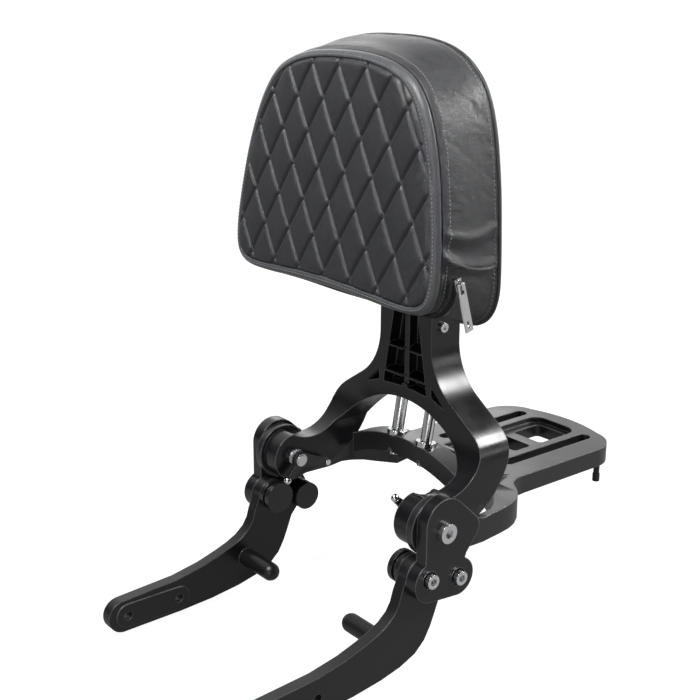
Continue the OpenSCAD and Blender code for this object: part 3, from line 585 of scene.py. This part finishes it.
def inside_by(x, z, line):
    """Distance in from the closed line, negative outside it: the distance to the nearest of its
    sections, with the sign from how often a ray crosses it."""
    best = np.full(x.shape, 1e9)
    odd = np.zeros(x.shape, dtype=bool)
    for (px, pz), (qx, qz) in zip(line, np.roll(line, -1, 0)):
        t = np.clip(((x - px) * (qx - px) + (z - pz) * (qz - pz)) / ((qx - px)**2 + (qz - pz)**2), 0, 1)
        best = np.minimum(best, np.hypot(x - px - t * (qx - px), z - pz - t * (qz - pz)))
        if pz != qz:
            odd ^= ((pz > z) != (qz > z)) & (x < (qx - px) * (z - pz) / (qz - pz) + px)
    return np.where(odd, best, -best)


def swell(a, b, depth_in):
    """Height of the panel in millimetres: each side of a line of sewing rises as 1 - (1 - distance /
    WALL) squared, with a low dome |sin(pi a) sin(pi b)| on top, and the rim rolls down to its seam."""
    off_a, off_b = (np.minimum(np.abs(q - np.round(q)) * LINE_GAP / WALL, 1) for q in (a, b))
    walls = off_a * (2 - off_a) * off_b * (2 - off_b)
    pillow = 0.7 * walls + 0.3 * dome / 5 * np.abs(np.sin(np.pi * a) * np.sin(np.pi * b))
    edge = np.clip(depth_in / 5.0, 0, 1)
    edge = edge * (2 - edge)
    return edge * (5.0 * pillow - 0.8) + np.where(depth_in < 0, np.maximum(depth_in, -3) * 1.2, 0) - 1.0


# the cloth run adds to the dome, so it starts lower
dome = 3.6
x, z = on_lines(a, b)
rim_line = outline(inner_half, even_turns(inner_half, 420))
near = (x > -150) & (x < 150) & (z > 190) & (z < 410)
depth_in = np.full(x.shape, -99.0)
depth_in[near] = inside_by(x[near], z[near], rim_line)
keep = depth_in > -2.6
index = -np.ones(x.shape, dtype=int)
index[keep] = np.arange(keep.sum())
corners = np.stack((index[:-1, :-1], index[:-1, 1:], index[1:, 1:], index[1:, :-1]), -1).reshape(-1, 4)
corners = corners[(corners >= 0).all(1)]
panel_pts = np.stack((x, front_y(z) - swell(a, b, depth_in), z), -1)
panel = skin_piece("pad_quilted_panel", panel_pts[keep], corners, vinyl)
on_line = ((steps % PER == 0)[:, None] | (steps % PER == 0)[None]) | (depth_in < 4.0)
blow_up(panel, on_line[keep], 0.001, 10, 0.0014 * np.clip((depth_in[keep, None] - 5) / 9, 0.01, 1))
double_skin(panel, 0.0012)
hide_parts("pad_panel")

# Sewing thread
# Thick grey thread: along both quilting ways and in rows beside the seams and the welt. On the rising way it
# is a dark copy of the thread, painted shade for those valleys.
def plain(name, color, rough, scale, depth):
    """Dyed fibre: fine noise in colour and height."""
    mat, tree, shader = blank(name)
    fuzz = noise(tree, add_node(tree, "TexCoord").outputs["Object"], scale, 3.0).outputs[0]
    bump = add_node(tree, "Bump", (("Strength", 0.6), ("Distance", depth), ("Height", fuzz)))
    darker, paler = ([c * by for c in color] for by in (0.6, 1.4))
    feed(tree, shader, (("Base Color", tinted(tree, fuzz, darker, paler)),
                        ("Normal", bump.outputs[0]), ("Roughness", rough)))
    return mat


thread = plain("thread_grey", (0.22, 0.22, 0.225), 0.7, 3000.0, 0.0002)
# a dark copy of the grey thread: painted shade on the rising quilting lines
shade_painted_thread = plain("thread_painted_shade", (0.06, 0.06, 0.063), 0.6, 3000.0, 0.0002)


def block_piece(name, points, block, mat):
    """Piece of many small closed blocks: one row of points for each, and the faces of one by index."""
    count, each = points.shape[:2]
    faces = (block[None] + each * np.arange(count)[:, None, None]).reshape(-1, 4)
    mesh = bpy.data.meshes.new(name)
    mesh.from_pydata(((points.reshape(-1, 3) + PAD_FROM) * MM).tolist(), [], faces.tolist())
    rebuilt(mesh, outward_faces)
    piece = new_piece(name, mesh, mat)
    return piece


def stitches(name, start, end, normal, radius, lift, mat):
    """One small tube for each stitch from start to end, of 5 rings of 6 points: centre = start + t (end -
    start) + normal (lift sin(pi t) - 0.3), and the radius swells from 0.35 to 1 times radius."""
    t = np.linspace(0, 1, 5)[None, :, None, None]
    angle = (np.arange(6) / 6 * 2 * np.pi)[None, None, :, None]
    side = unit(np.cross(unit(end - start), normal))
    s, e, n, w = (v[:, None, None, :] for v in (start, end, normal, side))
    thick = radius * (0.35 + 0.65 * np.sin(np.pi * t))
    tube = (s + t * (e - s) + n * (lift * np.sin(np.pi * t) - 0.3)
            + thick * (np.cos(angle) * n + np.sin(angle) * w))
    caps = np.array([[0, 5, 4, 3], [0, 3, 2, 1], [24, 25, 26, 27], [24, 27, 28, 29]])
    return block_piece(name, tube.reshape(len(start), 30, 3), np.concatenate((grid_faces(5, 6), caps)), mat)


# quilting: 9 stitches from one crossing of the lines to the next, each 0.68 of its pitch long
face_out = np.array([0.0, -1.0, LEAN]) / math.hypot(1, LEAN)
pitch = 1 / 9.0
line_no, place_on = np.meshgrid(np.arange(-7, 8), np.arange(-63, 63) * pitch, indexing="ij")
line_no, place_on = line_no.ravel(), place_on.ravel()
for name, rising, mat in (("quilting_thread_rising", True, shade_painted_thread),
                          ("quilting_thread_falling", False, thread)):
    ends = []
    for part in (0.16, 0.84):
        along = place_on + part * pitch
        a, b = (along, line_no) if rising else (line_no, along)
        x, z = on_lines(a, b)
        inside = inside_by(x, z, rim_line)
        ends.append(np.stack((x, front_y(z) - swell(a, b, inside), z, inside), -1))
    good = (ends[0][:, 3] > 1.5) & (ends[1][:, 3] > 1.5)
    stitches(name, ends[0][good, :3], ends[1][good, :3], np.tile(face_out, (good.sum(), 1)), 0.5, 0.5, mat)


def seam_row(name, line, normal, pitch, thick, lift):
    """Stitches along a closed line, one to each pitch, with a fifth of it left bare."""
    line, normal = (np.vstack((v, v[:1])) for v in (line, normal))
    run = run_along(line)
    count = int(run[-1] / pitch)
    begin = np.arange(count) * run[-1] / count
    return stitches(name, at_run(line, run, begin), at_run(line, run, begin + 0.8 * pitch),
                    unit(at_run(normal, run, begin)), thick, lift, thread)


def skin_normal(grid):
    """Outward direction at each point of a closed-row grid."""
    return unit(np.cross(np.roll(grid, -1, 1) - np.roll(grid, 1, 1), np.gradient(grid, axis=0)))


strip_n = skin_normal(strip)
cover_n = skin_normal(cover_now)
seam_row("border_stitches", strip[4], strip_n[4], 3.4, 0.42, 0.45)
seam_row("front_seam_stitches", cover_now[4], cover_n[4], 3.4, 0.42, 0.45)
seam_row("rear_seam_stitches", cover_now[-3], cover_n[-3], 3.8, 0.48, 0.5)

# Zip
# Woven tape round the lower flank with a moulded coil down its middle; slider and pull are bright steel.
zip_cloth = plain("zip_cloth", (0.014, 0.014, 0.015), 0.85, 1800.0, 0.0003)
tree = zip_cloth.node_tree
cloth_uv = add_node(tree, "TexCoord").outputs["UV"]
warp, weft = (add_node(tree, "TexWave", (("Vector", cloth_uv), ("Scale", 400.0)), bands_direction=way)
              for way in ("X", "Y"))
woven = add_node(tree, "Math", ((0, warp.outputs["Fac"]), (1, weft.outputs["Fac"])), operation="MULTIPLY")
raised = add_node(tree, "Bump", (("Strength", 0.5), ("Distance", 0.0002), ("Height", woven.outputs[0])))
feed(tree, tree.nodes["Principled BSDF"], (("Normal", raised.outputs[0]),))

zip_turns = np.linspace(9.05, 20.95, 300)
zip_rear, zip_outer, _ = outlines(zip_turns)


def flank(part, grow):
    """Line across part of the front flank, grown outwards by grow."""
    return between(on_front(inset(zip_outer, -grow), 10.7),
                   on_front(inset(between(zip_outer, zip_rear, 0.15), -2.6 - grow), 24.5), part)


# rows of the tape, (part of the flank, how proud it stands): both edges turn in, and the coil's bed is low
tape_rows = np.stack([flank(part, 0.9 + proud) for part, proud in (
    (0.42, -0.9), (0.44, 0.0), (0.56, 0.35), (0.66, 0.25), (0.70, 0.1),
    (0.74, 0.25), (0.86, 0.35), (0.96, 0.0), (0.98, -0.9))])
rows, cols = tape_rows.shape[:2]
run = run_along(tape_rows[4]) * MM
uv = np.stack((np.tile(run, (rows, 1)), np.tile(np.linspace(0, 0.009, rows)[:, None], (1, cols))), -1)
tape = skin_piece("zip_band", tape_rows, grid_faces(rows, cols, False), zip_cloth, uv.reshape(-1, 2))
double_skin(tape, 0.0005)
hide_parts("zip_tape")

# the coil's teeth stand 0.85 mm apart and reach to the two sides in turn
run = run_along(flank(0.70, 1.05))
many = int(run[-1] / 0.85)
at = (np.arange(many) + 0.5) * run[-1] / many
fore, mid, aft = (at_run(flank(part, 1.05), run, at) for part in (0.60, 0.70, 0.80))
ahead = unit(np.gradient(mid, axis=0))
sideways = unit(aft - fore)
proud = np.cross(ahead, sideways)
sideways = sideways * np.where(np.arange(many) % 2 == 0, 1.0, -1.0)[:, None]
# one tooth: along, sideways and outward places of a low block with a narrower top
tooth = np.array([[s * 0.42, w, 0.0] for s in (-1, 1) for w in (-0.7, 2.9)] +
                 [[s * 0.30, w, 1.0] for s in (-1, 1) for w in (-0.5, 2.5)])
teeth = (mid[:, None] + tooth[None, :, :1] * ahead[:, None] + tooth[None, :, 1:2] * sideways[:, None]
         + tooth[None, :, 2:] * proud[:, None])
block = np.array([[0, 1, 3, 2], [4, 5, 7, 6], [0, 1, 5, 4], [2, 3, 7, 6], [0, 2, 6, 4], [1, 3, 7, 5]])
coil_black = coated("coil_black", (0.012, 0.012, 0.013), (0.02, 0.02, 0.02), 0.38, 0.00003, 0.0002)
zip_teeth = block_piece("zip_teeth", teeth, block, coil_black)
zip_teeth.data.polygons.foreach_set("use_smooth", np.zeros(len(zip_teeth.data.polygons), dtype=bool))
finish(bright("zip_steel", (0.84, 0.84, 0.84), 0.16, 1.0, 0.0004), "zip_slider", "zip_pull")

# Studio: camera, floor and light
# The camera stands where the picture was taken from. A pale floor sweeps up into the wall behind. Two
# strong soft lamps stand over the front and behind the right side, and three weak ones round them.
yaw, pitch_down, roll = math.radians(51.25), math.radians(17.07), math.radians(0.30)
camera_at = (0.8419, -0.4918, 0.5867)
focal_px, picture_px, sensor_mm = 1233.3, 700, 36.0
back = Vector((math.sin(yaw) * math.cos(pitch_down), -math.cos(yaw) * math.cos(pitch_down),
               math.sin(pitch_down)))
level = Vector((math.cos(yaw), math.sin(yaw), 0))
upright = back.cross(level)
right, up = (math.cos(roll) * level + math.sin(roll) * upright,
             math.cos(roll) * upright - math.sin(roll) * level)
cam_data = bpy.data.cameras.new("camera")
cam_data.sensor_width = sensor_mm
cam_data.lens = focal_px / picture_px * sensor_mm
cam_data.clip_start, cam_data.clip_end = 0.05, 30
cam = bpy.data.objects.new("camera", cam_data)
scene.collection.objects.link(cam)
cam.matrix_world = Matrix.Translation(camera_at) @ Matrix((right, up, back)).transposed().to_4x4()
scene.camera = cam

# the floor's section, (distance away, height): flat, a quarter turn of 1.2 m radius, and the wall
floor_z = start_box[0].z - 0.004
section = [(-6.0, 0.0), (2.2, 0.0)] + [(2.2 + 1.2 * math.sin(q), 1.2 - 1.2 * math.cos(q))
                                       for q in np.linspace(0.1, math.pi / 2, 12)] + [(3.4, 5.0)]
away = Vector((-math.sin(yaw), math.cos(yaw), 0))
verts = [tuple(away * d + level * s + Vector((0, 0, floor_z + h))) for d, h in section for s in (-7.0, 7.0)]
mesh = bpy.data.meshes.new("floor")
mesh.from_pydata(verts, [], [(2 * i, 2 * i + 1, 2 * i + 3, 2 * i + 2) for i in range(len(section) - 1)])
mesh.polygons.foreach_set("use_smooth", np.ones(len(mesh.polygons), dtype=bool))
floor = bpy.data.objects.new("floor", mesh)
scene.collection.objects.link(floor)
# the camera sees the floor glow white; mirrored in the part it glows only up the wall
floor_white, tree, shader = blank("floor_white")
feed(tree, shader, (("Base Color", (0.18, 0.18, 0.179, 1)), ("Roughness", 0.9)))
path = add_node(tree, "LightPath")
glow = add_node(tree, "Emission", (("Color", (1, 1, 0.995, 1)), ("Strength", 0.95)))
lit = add_node(tree, "AddShader", ((0, shader.outputs[0]), (1, glow.outputs[0])))
spot = add_node(tree, "TexCoord")
split = add_node(tree, "SeparateXYZ", ((0, spot.outputs["Object"]),))
wall = add_node(tree, "MapRange", (("Value", split.outputs["Z"]), ("From Min", 0.0), ("From Max", 0.6),
                                   ("To Min", 0.12)))
mirrored = add_node(tree, "Math", ((0, path.outputs["Is Glossy Ray"]), (1, wall.outputs[0])),
                    operation="MULTIPLY")
seen = add_node(tree, "Math", ((0, path.outputs["Is Camera Ray"]), (1, mirrored.outputs[0])),
                operation="MAXIMUM")
swap = add_node(tree, "MixShader", ((0, seen.outputs[0]), (1, shader.outputs[0]), (2, lit.outputs[0])))
feed(tree, tree.nodes["Material Output"], (("Surface", swap.outputs[0]),))
mesh.materials.append(floor_white)

world = bpy.data.worlds.new("world")
scene.world = world
world.use_nodes = True
feed(world.node_tree, world.node_tree.nodes["Background"],
     (("Color", (0.95, 0.97, 1.0, 1)), ("Strength", 0.04)))
# each lamp: name, place, side in metres and power in watts; all look at the middle of the part
aim = Vector((0, 0.26, 0.30))
for name, pos, size, power in (("over", (0.15, -1.0, 2.2), 1.0, 74), ("behind", (1.22, 1.73, 1.70), 0.7, 56),
                               ("right", (1.74, 1.58, 0.60), 0.4, 2.5), ("rim", (-1.6, 1.5, 1.0), 0.9, 3.6),
                               ("front", (1.3, -1.75, 0.35), 0.7, 7)):
    data = bpy.data.lights.new(name, "AREA")
    data.size, data.energy = size, power
    lamp = bpy.data.objects.new(name, data)
    scene.collection.objects.link(lamp)
    lamp.location = pos
    lamp.rotation_euler = (aim - Vector(pos)).to_track_quat("-Z", "Y").to_euler()

scene.view_settings.view_transform = "Standard"
